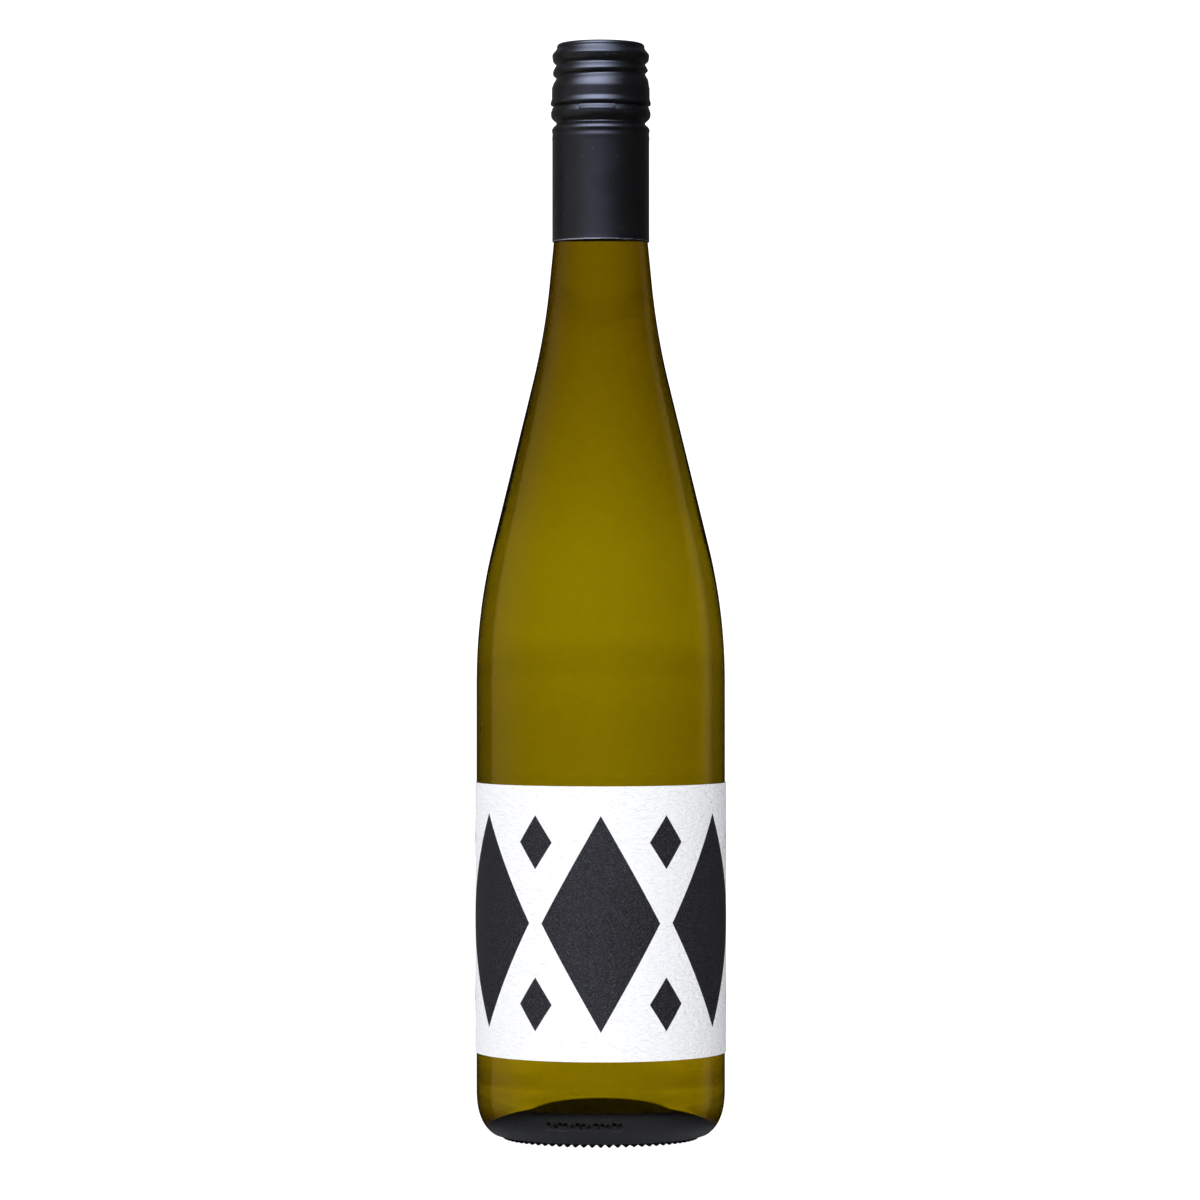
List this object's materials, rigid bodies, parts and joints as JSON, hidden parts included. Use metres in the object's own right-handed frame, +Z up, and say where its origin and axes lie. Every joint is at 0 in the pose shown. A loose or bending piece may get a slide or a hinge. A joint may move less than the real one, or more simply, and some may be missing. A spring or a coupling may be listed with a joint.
{
  "type": "wine bottle",
  "caption": "Full, shut flute bottle of white wine in olive glass, with a black aluminium screw capsule and a wrap-round paper label.",
  "frame": {"origin": "middle of the ring that the bottle stands on", "axes": "+Z up along the bottle's axis, the front of the label towards -Y, +X to the right"},
  "size_m": [0.0758, 0.0755, 0.3309],
  "materials": {
    "bottle_glass": "clear olive glass, fire polished",
    "drink": "clear pale straw white wine",
    "capsule": "satin black lacquer on aluminium",
    "label_paper": "felt-marked uncoated white paper with black ink"
  },
  "bodies": {
    "root": {"glass_bottle": "bottle_glass", "wine": "drink", "screw_capsule": "capsule", "label": "label_paper"}
  },
  "joints": []
}
